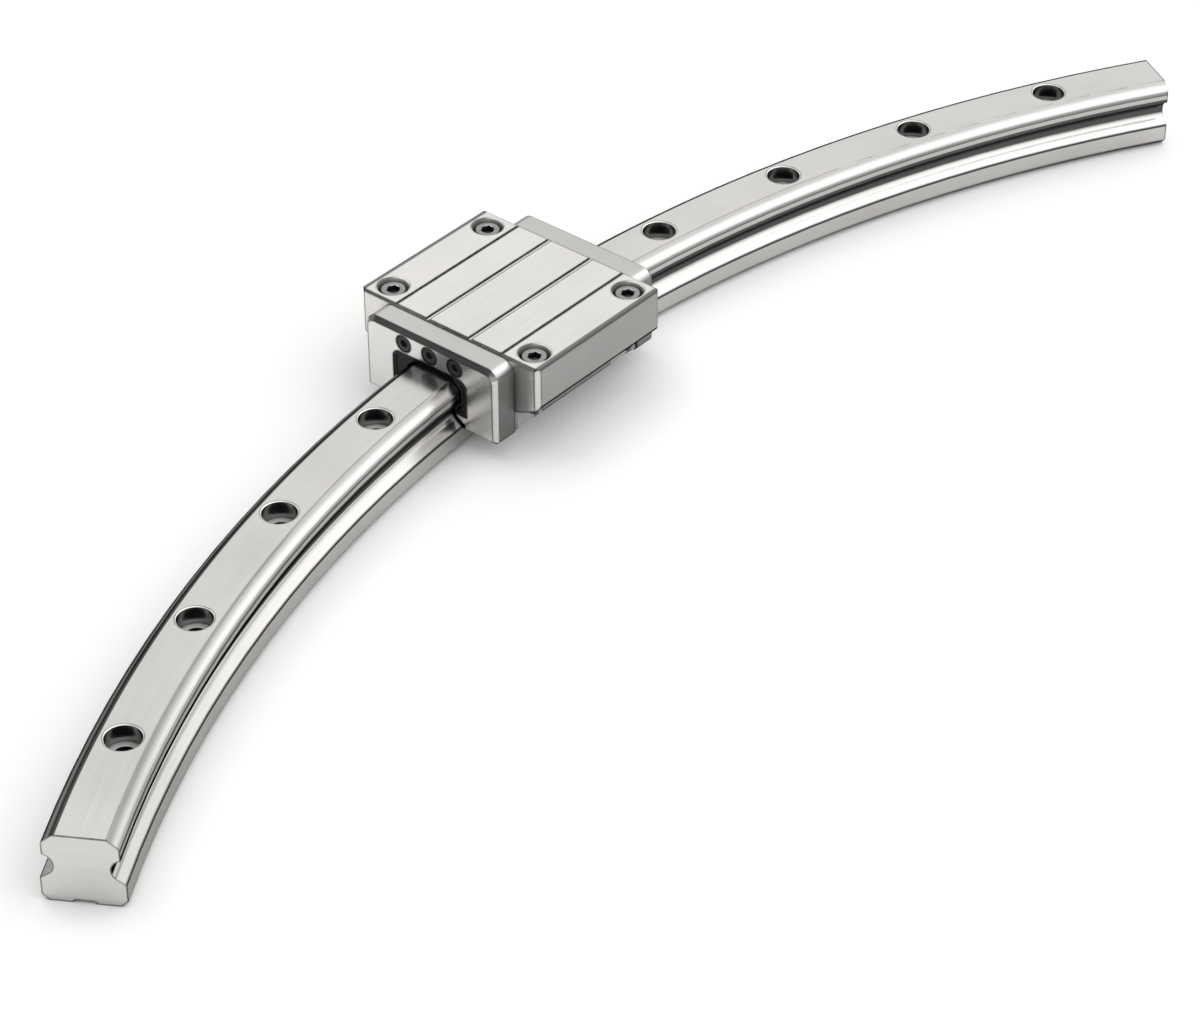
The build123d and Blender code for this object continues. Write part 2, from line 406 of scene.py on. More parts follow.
    def painted_light(self, bench: FaceBench) -> float | Socket:
        """Gives the painted shade and light of particular places, 1 elsewhere."""
        return 1.0

    def metal(self, bench: FaceBench) -> float | Socket:
        """Gives the share of metal in the surface."""
        return self.metallic

    def painted_occlusion(self, bench: FaceBench) -> Socket:
        """Gives the painted shade of deep places, 1 on open faces."""
        samples = {"samples": SHADER_SAMPLES}
        hidden = bench.node("ShaderNodeAmbientOcclusion", samples, Distance=self.crevice_depth)
        return bench.stretch(hidden.outputs["AO"], self.open_span, (self.crevice_shade, 1.0))

    def marks_place(self, bench: FaceBench, centre: Vector | None, facing: Facing) -> Socket:
        """Gives coordinates drawn out along the tool marks.

        Args:
            bench: The material's nodes.
            centre: Point on the axis of turned marks.
            facing: Way that axis looks.

        Returns:
            Coordinates for the marks' noise.
        """
        along = self.streak_width / self.streak_length
        if self.grain is Grain.ALONG:
            drawn = bench.vector("MULTIPLY", bench.place, (along, 1.0, 1.0))
            return self.level_marks(bench, along, (1.0, 0.0, 0.0), drawn)
        if self.grain is Grain.ACROSS:
            return bench.vector("MULTIPLY", bench.place, (1.0, along, 1.0))
        if self.grain is Grain.NONE:
            return bench.place
        axis_point = centre if centre is not None else Vector((0.0, self.arc_centre, 0.0))
        parts = bench.split(bench.vector("SUBTRACT", bench.place, tuple(axis_point)))
        order = (0, 1, 2) if facing is Facing.UP else (1, 2, 0)
        first, second, height = (parts[index] for index in order)
        outward = bench.flat(first, second)
        reach = abs(self.arc_centre) if self.grain is Grain.ARC else self.streak_length
        run = bench.product(bench.maths("ARCTAN2", first, second), reach * along)
        radius = bench.length(outward)
        drawn = bench.node("ShaderNodeCombineXYZ", X=run, Y=radius, Z=height).outputs[0]
        if self.grain is Grain.TURNED:
            return drawn
        arc_way = bench.vector("CROSS_PRODUCT", bench.vector("NORMALIZE", outward), (0.0, 0.0, 1.0))
        return self.level_marks(bench, along, arc_way, drawn)

    def level_marks(self, bench: FaceBench, along: float, grain_way: Any, drawn: Socket) -> Socket:
        """Turns the marks level on faces that cut across the grain.

        Args:
            bench: The material's nodes.
            along: How much the marks are drawn out.
            grain_way: Direction of the grain.
            drawn: Coordinates drawn out along the grain.

        Returns:
            Coordinates for the marks on every face.
        """
        cut = bench.maths("GREATER_THAN", bench.size(bench.alike(bench.normal, grain_way)), self.cut_limit)
        level = bench.vector("MULTIPLY", bench.place, (along, along, 1.0))
        return bench.mix(Blend.VECTOR, cut, drawn, level)

    def edge_mask(self, bench: FaceBench) -> Socket:
        """Finds the piece's sharp edges.

        Args:
            bench: The material's nodes.

        Returns:
            1 at an edge and 0 away from it, uneven along the edge.
        """
        rounded = bench.node("ShaderNodeBevel", {"samples": SHADER_SAMPLES}, Radius=self.edge_width)
        alike = bench.alike(rounded.outputs["Normal"], bench.normal)
        bend = bench.stretch(alike, self.edge_span, (0.0, self.edge_strength))
        uneven = bench.stretch(bench.noise(bench.place, self.uneven_scale), NOISE_SPAN, self.uneven_span)
        slant = bench.gap(bench.rise(), self.bevel_rise)
        on_flats = bench.stretch(slant, self.bevel_span, (self.bevel_dark, 1.0))
        return bench.maths("MULTIPLY", bench.product(bend, uneven), on_flats, clamp=True)


@dataclass(frozen=True)
class BoredFinish(Finish):
    """Looks of a ground piece with counterbored holes, duller inside them, with painted shade and light
    there and no painted outlines.
    """

    # Painted shade on the hole walls, painted light on their rims and floors.
    bore_shade: float = 0.55
    bore_floor_shade: float = 1.25
    bore_rim_shade: float = 1.5
    bore_rim_span: Span = (0.5, 0.6)
    bore_floor_span: Span = (0.85, 0.95)
    bore_wall_metal: float = 1.0
    bore_level_metal: float = 0.2
    bore_level_limit: float = 0.5

    def in_bore(self, bench: FaceBench) -> Socket:
        """Gives 1 inside the holes, 0 on the outer faces."""
        raise NotImplementedError

    def painted_light(self, bench: FaceBench) -> Socket:
        """Paints shade and light inside the holes."""
        return bench.where(self.in_bore(bench), self.painted_bore_light(bench))

    def metal(self, bench: FaceBench) -> Socket:
        """Leaves the insides of the holes duller than the ground faces."""
        raised = bench.maths("GREATER_THAN", bench.rise(), self.bore_level_limit)
        dull = bench.where(raised, self.bore_level_metal, self.bore_wall_metal)
        return bench.where(self.in_bore(bench), dull)

    def edge_mask(self, bench: FaceBench) -> Socket:
        """Finds the piece's sharp edges, those inside the holes left out."""
        outside = bench.maths("SUBTRACT", 1.0, self.in_bore(bench))
        return bench.product(super().edge_mask(bench), outside)

    def painted_bore_light(self, bench: FaceBench) -> Socket:
        """Gives the painted shade of the holes' walls and the painted light of their rims and floors."""
        rise = bench.rise()
        sides = bench.stretch(rise, self.bore_rim_span, (self.bore_shade, self.bore_rim_shade))
        floor_change = self.bore_floor_shade - self.bore_rim_shade
        return bench.maths("ADD", sides, bench.stretch(rise, self.bore_floor_span, (0.0, floor_change)))


@dataclass(frozen=True)
class CarriageFinish(BoredFinish):
    """Looks of the carriage's body, with the places of its four flange holes."""

    bolt_along: float = 0.0
    bolt_across: float = 0.0
    bore_radius: float = 0.00545

    def in_bore(self, bench: FaceBench) -> Socket:
        """Gives 1 inside the flange holes, 0 on the outer faces."""
        parts = bench.split(bench.place)
        along = bench.maths("SUBTRACT", bench.size(parts[0]), self.bolt_along / 2)
        across = bench.maths("SUBTRACT", bench.gap(parts[1], self.track), self.bolt_across / 2)
        return bench.maths("LESS_THAN", bench.length(bench.flat(along, across)), self.bore_radius)


@dataclass(frozen=True)
class RailFinish(BoredFinish):
    """Looks of the rail: painted shade on the grooves, holes and outer top corner, a painted highlight on
    the inner top corner.

    Heights are measured from the base, the other distances outward from the rail's middle.
    """

    middle_radius: float = 0.5
    half_sweep: float = math.radians(31.5)
    end_skin: float = 0.0001
    base_line: float = 0.0076
    base_top: float = 0.0081
    groove_low: float = 0.0115
    groove_high: float = 0.0176
    corner_foot: float = 0.0195
    corner_core: float = 0.0217
    corner_top: float = 0.0229
    corner_start: float = 0.0071
    outer_start: float = 0.0066
    stripe_height: float = 0.0222
    stripe_reach: float = 0.0013
    blend: float = 0.0003
    bore_reach: float = 0.00595
    bore_top: float = 0.02345
    # Painted shade on the base line, nose, groove, base side and outer corner; painted highlight on the
    # inner corner.
    base_line_shade: float = 0.12
    nose_shade: float = 0.8
    groove_shade: float = 0.14
    base_shade: float = 0.88
    outer_low: float = 0.12
    outer_high: float = 0.55
    inner_low: float = 0.2
    inner_highlight: float = 1.15
    inner_high: float = 0.6

    def painted_light(self, bench: FaceBench) -> Socket:
        """Paints shade and light on the grooves, the long sides, the two top corners and the holes.

        Args:
            bench: The material's nodes.

        Returns:
            The shade, 1 on the ground faces.
        """
        outward, height, turn = self.section_place(bench)
        bands = (
            (self.groove_low, self.groove_high, self.groove_shade),
            (-self.blend, self.base_line, self.base_shade),
            (self.base_line, self.base_top, self.base_line_shade),
            (self.groove_high, self.corner_foot, self.nose_shade),
        )
        shade = bench.product(
            self.outer_corner_shade(bench, outward, height),
            *(self.band(bench, height, low, high, value) for low, high, value in bands),
            self.inner_corner_highlight(bench, outward, height),
        )
        shade = bench.where(self.in_bore(bench), self.painted_bore_light(bench), shade)
        return bench.where(self.off_end(bench, turn), shade)

    def in_bore(self, bench: FaceBench) -> Socket:
        """Gives 1 inside the rail's holes, 0 on its outer faces."""
        outward, height, turn = self.section_place(bench)
        near = bench.maths("LESS_THAN", bench.size(outward), self.bore_reach)
        below = bench.maths("LESS_THAN", height, self.bore_top)
        return bench.product(near, below, self.off_end(bench, turn))

    def off_end(self, bench: FaceBench, turn: Socket) -> Socket:
        """Gives 1 along the rail, 0 on its two end faces."""
        return bench.maths("LESS_THAN", turn, self.half_sweep - self.end_skin)

    def section_place(self, bench: FaceBench) -> tuple[Socket, Socket, Socket]:
        """Gives a place in the rail's section and along its arc.

        Args:
            bench: The material's nodes.

        Returns:
            Distance outward from the rail's middle, height, and turn from the arc's middle.
        """
        parts = bench.split(bench.vector("SUBTRACT", bench.place, (0.0, self.arc_centre, 0.0)))
        radius = bench.length(bench.flat(parts[0], parts[1]))
        turn = bench.size(bench.maths("ARCTAN2", parts[0], parts[1]))
        return bench.maths("SUBTRACT", radius, self.middle_radius), parts[2], turn

    def outer_corner_shade(self, bench: FaceBench, outward: Socket, height: Socket) -> Socket:
        """Gives the painted shade of the outer corner with a paler painted stripe, 1 elsewhere."""
        beyond = bench.stretch(outward, (self.outer_start, self.outer_start + self.blend), (0.0, 1.0))
        off_stripe = bench.gap(height, self.stripe_height)
        dark = bench.stretch(off_stripe, (0.0, self.stripe_reach), (self.outer_high, self.outer_low))
        return bench.where(bench.product(self.above(bench, height, self.corner_foot), beyond), dark)

    def inner_corner_highlight(self, bench: FaceBench, outward: Socket, height: Socket) -> Socket:
        """Gives the painted highlight of the inner corner, brightest at its core and painted darker at its
        foot, 1 elsewhere.
        """
        foot, core, top, start = self.corner_foot, self.corner_core, self.corner_top, -self.corner_start
        within = bench.stretch(outward, (start - self.blend, start), (1.0, 0.0))
        rising = bench.stretch(height, (foot, core), (self.inner_low, self.inner_highlight))
        falling = bench.stretch(height, (core, top), (0.0, self.inner_high - self.inner_highlight))
        corner = bench.product(self.above(bench, height, foot), within)
        return bench.where(corner, bench.maths("ADD", rising, falling))

    def above(self, bench: FaceBench, height: Socket, limit: float) -> Socket:
        """Gives 1 above a height, 0 below it."""
        return bench.stretch(height, (limit - self.blend, limit), (0.0, 1.0))

    def band(self, bench: FaceBench, height: Socket, low: float, high: float, shade: float) -> Socket:
        """Gives a painted shade between two heights and 1 outside them.

        Args:
            bench: The material's nodes.
            height: Height above the base.
            low: Lower end of the band.
            high: Upper end of the band.
            shade: The band's shade.

        Returns:
            The shade at every height.
        """
        below = bench.stretch(height, (high, high + self.blend), (1.0, 0.0))
        inside = bench.product(self.above(bench, height, low), below)
        return bench.stretch(inside, (0.0, 1.0), (1.0, shade))


def deselect_all() -> None:
    """Leaves edit mode and deselects every object."""
    if bpy.context.mode != "OBJECT":
        bpy.ops.object.mode_set(mode="OBJECT")
    bpy.ops.object.select_all(action="DESELECT")


def pick(piece: Piece) -> None:
    """Makes a piece the only selected one, and the active one."""
    deselect_all()
    piece.select_set(True)
    bpy.context.view_layer.objects.active = piece


def start_edit(piece: Piece, action: str = "DESELECT") -> None:
    """Opens a piece in edit mode with nothing in it selected, or all of it by the action SELECT."""
    pick(piece)
    bpy.ops.object.mode_set(mode="EDIT")
    bpy.ops.mesh.select_all(action=action)


def end_form() -> None:
    """Points the open mesh's faces outward and closes edit mode."""
    bpy.ops.mesh.select_all(action="SELECT")
    bpy.ops.mesh.normals_make_consistent(inside=False)
    bpy.ops.object.mode_set(mode="OBJECT")


def stack(sides: int, radius: float, height: float, steps: Iterable[Span]) -> Piece:
    """Models a solid of straight and tapered lengths, one after the other.

    Args:
        sides: How many sides it has.
        radius: Radius at its start.
        height: Height of its start.
        steps: Rise of each length, and its end's radius as a share of its start's.

    Returns:
        The new piece.
    """
    deselect_all()
    bpy.ops.mesh.primitive_circle_add(vertices=sides, radius=radius, fill_type="NGON")
    piece = bpy.context.active_object
    start_edit(piece, "SELECT")
    bpy.ops.transform.translate(value=(0.0, 0.0, height))
    for rise, scale in steps:
        bpy.ops.mesh.extrude_region_move(TRANSFORM_OT_translate={"value": (0.0, 0.0, rise)})
        bpy.ops.transform.resize(value=(scale, scale, 1.0))
    end_form()
    return piece


def select(kind: str, test: Callable[[Any], bool]) -> None:
    """Selects the open mesh's parts that pass a test.

    Args:
        kind: Kind of part, FACE or VERT.
        test: Says whether a part is wanted.
    """
    bpy.ops.mesh.select_mode(type=kind)
    data = bpy.context.active_object.data
    mesh = bmesh.from_edit_mesh(data)
    for part in mesh.faces if kind == "FACE" else mesh.verts:
        part.select_set(test(part))
    mesh.select_flush(True)
    bmesh.update_edit_mesh(data)


def apply_modifier(piece: Piece, kind: str, settings: dict[str, Any]) -> None:
    """Adds a modifier to a piece and applies it.

    Args:
        piece: The piece.
        kind: The modifier's type.
        settings: The modifier's properties.
    """
    pick(piece)
    modifier = piece.modifiers.new(kind.title(), kind)
    for name, value in settings.items():
        setattr(modifier, name, value)
    bpy.ops.object.modifier_apply(modifier=modifier.name)


def combine(piece: Piece, tool: Piece, operation: str) -> None:
    """Applies a boolean with another mesh, which is used up.

    Args:
        piece: The piece that changes.
        tool: The mesh that cuts it or joins it.
        operation: The boolean's operation.
    """
    apply_modifier(piece, "BOOLEAN", {"operation": operation, "solver": "EXACT", "object": tool})
    bpy.data.objects.remove(tool, do_unlink=True)


def finish_surface(piece: Piece, angle: float) -> None:
    """Merges doubles, points the faces outward and smooths all but the sharp edges.

    Args:
        piece: The piece.
        angle: Edges that bend more than this, in degrees, stay sharp.
    """
    start_edit(piece, "SELECT")
    bpy.ops.mesh.remove_doubles(threshold=WELD)
    end_form()
    pick(piece)
    bpy.ops.object.shade_smooth_by_angle(angle=math.radians(angle))


def open_edges(piece: Piece) -> int:
    """Counts the edges of a mesh that don't lie between exactly two faces."""
    mesh = bmesh.new()
    mesh.from_mesh(piece.data)
    count = sum(len(edge.link_faces) != 2 for edge in mesh.edges)
    mesh.free()
    return count


def dress(piece: Piece, material: bpy.types.Material) -> None:
    """Gives a whole piece one material."""
    piece.data.materials.clear()
    piece.data.materials.append(material)


def dress_node(name: str, material: bpy.types.Material) -> None:
    """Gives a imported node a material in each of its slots."""
    for slot in frame["nodes"][name].material_slots:
        slot.material = material
    LOG.info("node %s dressed in %s", name, material.name)


@dataclass
class SocketScrew:
    """Socket-head screw with a serrated head, a broached hexagon and a cut thread.

    It is modelled upright, with the middle of its head's top at the origin. Sizes are in metres,
    and those of the thread's form in pitches.
    """

    head_diameter: float
    head_height: float
    socket_size: float
    socket_depth: float
    shank_diameter: float
    length: float
    thread_length: float
    thread_pitch: float
    serrations: int = 40
    serration_depth: float = 0.00012
    top_chamfer: float = 0.0004
    foot_chamfer: float = 0.00015
    turn_steps: int = 28
    mouth_sides: int = 48
    mouth_ratio: float = 1.03
    mouth_depth: float = 0.2
    mouth_slope: float = 2.0
    point_share: float = 0.2
    point_ratio: float = 0.25
    flare_ratio: float = 1.1
    foot_overlap: float = 0.4
    core_ratio: float = 0.99
    thread_depth: float = 0.54
    run_out: float = 0.5
    crest_flat: float = 0.07
    tip_margin: float = 0.1
    tip_taper: float = 0.75
    thread_weld: float = 0.002
    spare_turns: int = 2
    smooth_angle: float = 28.0

    @property
    def root_radius(self) -> float:
        """Radius at the bottom of the thread."""
        return self.shank_diameter / 2 - self.thread_depth * self.thread_pitch

    @property
    def corner_radius(self) -> float:
        """Radius at the socket's corners."""
        return self.socket_size / 2 / math.cos(math.pi / 6)

    def build(self, name: str) -> Piece:
        """Models the screw.

        Args:
            name: Name of the piece.

        Returns:
            The finished screw at the origin.
        """
        head = self.head(name)
        for cutter in (self.hexagon(), self.countersink()):
            combine(head, cutter, "DIFFERENCE")
        combine(head, self.shank(), "UNION")
        combine(head, self.thread(), "UNION")
        finish_surface(head, self.smooth_angle)
        LOG.info("%s modelled: %d open edges", name, open_edges(head))
        return head

    def head(self, name: str) -> Piece:
        """Models the head with its serrated side and chamfered rims."""
        radius = self.head_diameter / 2
        foot = radius - self.foot_chamfer
        sides = self.serrations * SERRATION_POINTS
        steps = (
            (self.foot_chamfer, radius / foot),
            (self.head_height - self.foot_chamfer - self.top_chamfer, 1.0),
            (self.top_chamfer, (radius - self.top_chamfer) / radius),
        )
        piece = stack(sides, foot, -self.head_height, steps)
        piece.name = name
        step = math.tau / sides
        low, high = -self.head_height + self.foot_chamfer / 2, -self.top_chamfer / 2

        def in_serration(point: bmesh.types.BMVert) -> bool:
            """Says whether a point lies at the bottom of a serration."""
            index = round(math.atan2(point.co.y, point.co.x) / step)
            return low < point.co.z < high and index % SERRATION_POINTS == 0

        start_edit(piece)
        select("VERT", in_serration)
        shrink = 1.0 - self.serration_depth / radius
        bpy.ops.transform.resize(value=(shrink, shrink, 1.0))
        end_form()
        return piece

    def hexagon(self) -> Piece:
        """Models the socket's cutter: a hexagon with a drilled point below it."""
        point = self.socket_depth * self.point_share
        straight = self.head_height + self.socket_depth - point
        steps = ((-straight, 1.0), (-point, self.point_ratio))
        return stack(6, self.corner_radius, self.head_height, steps)

    def countersink(self) -> Piece:
        """Models the cutter of the chamfer round the socket's mouth."""
        mouth = self.corner_radius * self.mouth_ratio
        lift = self.socket_size * self.mouth_depth
        spread = lift * self.mouth_slope
        steps = ((-2.0 * lift, (mouth - spread) / (mouth + spread)),)
        return stack(self.mouth_sides, mouth + spread, lift, steps)

    def shank(self) -> Piece:
        """Models the plain shank with the small cone under the head."""
        radius = self.shank_diameter / 2
        flare = radius * self.flare_ratio
        overlap = (self.head_height - self.socket_depth) * self.foot_overlap
        plain = self.length - self.thread_length
        run_out = self.thread_pitch * self.run_out
        steps = (
            (-overlap, 1.0),
            (radius - flare, radius / flare),
            (-plain + (flare - radius) + run_out, 1.0),
            (-run_out, self.root_radius * self.core_ratio / radius),
            (-self.thread_pitch, 1.0),
        )
        return stack(self.turn_steps * 2, flare, -self.head_height + overlap, steps)

    def thread(self) -> Piece:
        """Models the thread: a turned profile, cut square at its top and chamfered at its tip."""
        pitch = self.thread_pitch
        crest = self.shank_diameter / 2
        start = -self.head_height - self.length
        middle = (crest + self.root_radius) / 2
        deselect_all()
        bpy.ops.mesh.primitive_plane_add(
            size=1.0, location=(middle, 0.0, start - pitch), rotation=(math.pi / 2, 0.0, 0.0)
        )
        piece = bpy.context.active_object
        piece.scale = (crest - self.root_radius, pitch, 1.0)
        bpy.ops.object.transform_apply(location=True, rotation=True, scale=True)
        start_edit(piece)
        select("VERT", lambda point: point.co.x > middle)
        bpy.ops.mesh.merge(type="CENTER")
        select("VERT", lambda point: point.co.x < middle)
        bpy.ops.mesh.delete(type="EDGE_FACE")
        select("VERT", lambda point: point.co.x > middle)
        bpy.ops.mesh.bevel(offset=pitch * self.crest_flat, affect="VERTICES")
        bpy.ops.object.mode_set(mode="OBJECT")
        settings = {
            "axis": "Z",
            "angle": math.tau,
            "screw_offset": pitch,
            "iterations": math.ceil(self.thread_length / pitch) + self.spare_turns,
            "steps": self.turn_steps,
            "render_steps": self.turn_steps,
            "use_smooth_shade": False,
        }
        apply_modifier(piece, "SCREW", settings)
        start_edit(piece, "SELECT")
        bpy.ops.mesh.remove_doubles(threshold=pitch * self.thread_weld)
        for level, direction in ((start + self.thread_length, 1.0), (start, -1.0)):
            bpy.ops.mesh.select_all(action="SELECT")
            plane = {"plane_co": (0.0, 0.0, level), "plane_no": (0.0, 0.0, direction)}
            bpy.ops.mesh.bisect(**plane, use_fill=True, clear_outer=True)
        end_form()
        combine(piece, self.tip_form(), "INTERSECT")
        return piece

    def tip_form(self) -> Piece:
        """Models the form that trims the thread's tip to a chamfer."""
        radius = self.shank_diameter / 2 + self.thread_pitch * self.tip_margin
        taper = self.thread_pitch * self.tip_taper
        steps = ((taper, radius / (radius - taper)), (self.thread_length + self.thread_pitch, 1.0))
        return stack(self.turn_steps * 2, radius - taper, -self.head_height - self.length, steps)


@dataclass
class ScrewSet:
    """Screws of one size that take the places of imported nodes."""

    form: SocketScrew
    finish: Finish
    slot: str
    places: dict[str, Facing]

    def build(self) -> None:
        """Models the screw once and puts a copy in each node's place."""
        pattern = self.form.build("screw_pattern")
        for node, facing in self.places.items():
            self.put(pattern, node, facing)
        bpy.data.objects.remove(pattern, do_unlink=True)

    def put(self, pattern: Piece, node: str, facing: Facing) -> None:
        """Puts one screw where a node is.

        Args:
            pattern: The modelled screw.
            node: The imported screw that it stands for.
            facing: Way its head looks.
        """
        turn, axis, end = facing.value
        low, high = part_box(node)
        middle = (Vector(low) + Vector(high)) / 2
        middle[axis] = (low, high)[end][axis]
        piece = pattern.copy()
        piece.data = pattern.data.copy()
        piece.name = f"{node}_threaded"
        bpy.context.scene.collection.objects.link(piece)
        pick(piece)
        piece.rotation_euler = (0.0, turn, 0.0)
        piece.location = middle
        bpy.ops.object.transform_apply(location=True, rotation=True, scale=True)
        dress(piece, self.finish.material(middle, facing))
        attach(piece, CARRIAGE)
        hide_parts(node)
        LOG.info("%s in place", piece.name)


@dataclass
class WiperSeal:
    """Moulded rubber seal with a raised lip round its edge and the rail."""

    node: str
    finish: Finish
    slot: str
    outward: float
    lip_width: float = 0.0009
    lip_height: float = 0.00035
    edge_round: float = 0.00015
    round_steps: int = 2
    round_angle: float = 50.0
    smooth_angle: float = 40.0
    flat_angle: float = 1.0
    weld: float = 1e-6
    face_slack: float = 1e-5
    face_limit: float = 0.99

    def build(self) -> None:
        """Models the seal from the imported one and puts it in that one's place."""
        piece = frame["nodes"][self.node].copy()
        piece.data = piece.data.copy()
        piece.parent = None
        piece.matrix_world = Matrix.Identity(4)
        piece.name = f"{self.node}_lipped"
        bpy.context.scene.collection.objects.link(piece)
        start_edit(piece, "SELECT")
        bpy.ops.mesh.remove_doubles(threshold=self.weld)
        bpy.ops.mesh.dissolve_limited(angle_limit=math.radians(self.flat_angle))
        self.raise_lip(piece)
        end_form()
        rounding = {
            "width": self.edge_round,
            "segments": self.round_steps,
            "limit_method": "ANGLE",
            "angle_limit": math.radians(self.round_angle),
        }
        apply_modifier(piece, "BEVEL", rounding)
        finish_surface(piece, self.smooth_angle)
        dress(piece, self.finish.material())
        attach(piece, CARRIAGE)
        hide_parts(self.node)
        LOG.info("%s modelled: %d open edges", piece.name, open_edges(piece))

    def raise_lip(self, piece: Piece) -> None:
        """Sinks the open piece's outer face inside its lip."""
        points = bmesh.from_edit_mesh(piece.data).verts
        outermost = max((point.co.x for point in points), key=lambda x: x * self.outward)

        def on_face(face: bmesh.types.BMFace) -> bool:
            """Says whether a face is the outer one."""
            near = abs(face.calc_center_bounds().x - outermost) < self.face_slack
            return near and face.normal.x * self.outward > self.face_limit

        select("FACE", on_face)
        bpy.ops.mesh.inset(thickness=self.lip_width, depth=0.0)
        sink = (-self.outward * self.lip_height, 0.0, 0.0)
        bpy.ops.mesh.extrude_region_move(TRANSFORM_OT_translate={"value": sink})


@dataclass
class GuideRail:
    """The ground rail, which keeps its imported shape."""

    finish: Finish
    node: str = "guide_rail"

    def build(self) -> None:
        """Dresses the rail."""
        dress_node(self.node, self.finish.material())


@dataclass
class Carriage:
    """The carriage body with its end plates and balls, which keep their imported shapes."""

    body_finish: Finish
    plate_finish: Finish
    ball_finish: Finish
    body: str = "carriage_body"
    plates: Sequence[str] = ("end_plate_front", "end_plate_rear")
    balls: Sequence[str] = ("ball_row_outer", "ball_row_inner")

    def build(self) -> None:
        """Dresses the body, the end plates and the balls."""
        dress_node(self.body, self.body_finish.material())
        for names, finish in ((self.plates, self.plate_finish), (self.balls, self.ball_finish)):
            material = finish.material()
            for name in names:
                dress_node(name, material)


@dataclass
class Studio:
    """White floor, graded surroundings and soft lamps.

    Levels are brightnesses of the surroundings by height, 0 at the horizon and 1 overhead.
    """

    floor_size: float = 8.0
    floor_drop: float = 0.1 * MM
    floor_span: Span = (0.89, 0.91)
    floor_roughness: float = 0.9
    cloud_scale: float = 3.0
    key_power: float = 8.0
    key_size: float = 1.3
    key_place: Point = (-0.3, 0.85, 1.9)
    fill_power: float = 9.0
    fill_size: float = 2.4
    fill_place: Point = (1.0, -1.3, 1.2)
    warmth: float = 0.015
    side_span: Span = (0.4, 0.8)
    left_side: Point = (-0.76, 0.65, 0.0)
    right_side: Point = (0.62, -0.785, 0.0)
    around_levels: Sequence[Span] = (
        (0.0, 0.2), (0.14, 0.12), (0.26, 0.95), (0.48, 1.2), (0.7, 0.98), (1.0, 1.5)
    )
    left_levels: Sequence[Span] = (
        (0.0, 0.3), (0.2, 0.95), (0.4, 0.95), (0.46, 0.04), (0.76, 0.04), (0.84, 0.7), (1.0, 1.5)
    )
    right_levels: Sequence[Span] = (
        (0.0, 0.5), (0.14, 0.5), (0.26, 0.85), (0.4, 1.15), (0.75, 1.25), (1.0, 1.5)
    )

    def build(self) -> None:
        """Sets the floor, the surroundings and the lamps."""
        self.floor()
        self.surroundings()
        self.lamp("key_lamp", Vector(self.key_place), self.key_size, self.key_power)
        self.lamp("fill_lamp", Vector(self.fill_place), self.fill_size, self.fill_power)
        bpy.context.scene.view_settings.view_transform = "Standard"
        LOG.info("studio ready")

    def floor(self) -> None:
        """Lays the floor."""
        deselect_all()
        bpy.ops.mesh.primitive_plane_add(size=self.floor_size, location=(0.0, 0.0, -self.floor_drop))
        floor = bpy.context.active_object
        floor.name = "studio_floor"
        made = bpy.data.materials.new("white_paper_floor")
        made.use_nodes = True
        bench = Bench(made.node_tree)
        place = bench.node("ShaderNodeTexCoord").outputs["Object"]
        shade = bench.stretch(bench.noise(place, self.cloud_scale), NOISE_SPAN, self.floor_span)
        colour = bench.node("ShaderNodeCombineColor", Red=shade, Green=shade, Blue=shade).outputs[0]
        shader = bench.node("ShaderNodeBsdfPrincipled", Base_Color=colour, Roughness=self.floor_roughness)
        bench.node("ShaderNodeOutputMaterial", Surface=shader.outputs["BSDF"])
        dress(floor, made)

    def surroundings(self) -> None:
        """Makes the surroundings: bright overhead, with a dark panel high up on the left."""
        world = bpy.data.worlds.new("graded_studio")
        bpy.context.scene.world = world
        world.use_nodes = True
        bench = Bench(world.node_tree)
        parts = bench.split(bench.node("ShaderNodeTexCoord").outputs["Generated"])
        level = bench.vector("NORMALIZE", bench.flat(parts[0], parts[1]))
        colour = self.ramp(bench, parts[2], self.around_levels)
        for side, levels in ((self.left_side, self.left_levels), (self.right_side, self.right_levels)):
            share = self.toward(bench, level, side)
            colour = bench.mix(Blend.RGBA, share, colour, self.ramp(bench, parts[2], levels))
        light = bench.node("ShaderNodeBackground", Color=colour, Strength=1.0)
        bench.node("ShaderNodeOutputWorld", Surface=light.outputs[0])

    def toward(self, bench: Bench, level: Socket, side: Point) -> Socket:
        """Gives how far a level direction turns toward a side, 0 to 1."""
        smooth = {"interpolation_type": "SMOOTHSTEP"}
        ends = {"From_Min": self.side_span[0], "From_Max": self.side_span[1]}
        alike = bench.alike(level, side)
        return bench.node("ShaderNodeMapRange", smooth, Value=alike, **ends).outputs["Result"]

    def ramp(self, bench: Bench, height: Socket, levels: Sequence[Span]) -> Socket:
        """Makes a ramp of brightness over height.

        Args:
            bench: The world's nodes.
            height: Height of the direction, 0 at the horizon and 1 overhead.
            levels: Heights with their brightness.

        Returns:
            The ramp's colour.
        """
        made = bench.node("ShaderNodeValToRGB", Fac=height)
        stops = made.color_ramp.elements
        while len(stops) < len(levels):
            stops.new(1.0)
        for stop, (place, value) in zip(stops, levels):
            stop.position = place
            stop.color = grey(value, self.warmth)
        return made.outputs["Color"]

    def lamp(self, name: str, place: Vector, size: float, power: float) -> None:
        """Hangs a square soft lamp that looks at the object.

        Args:
            name: Name of the lamp.
            place: Its place.
            size: Its side.
            power: Its power in watts.
        """
        data = bpy.data.lights.new(name, "AREA")
        data.size = size
        data.energy = power
        lamp = bpy.data.objects.new(name, data)
        bpy.context.scene.collection.objects.link(lamp)
        lamp.location = place
        lamp.rotation_euler = (-place).to_track_quat("-Z", "Y").to_euler()


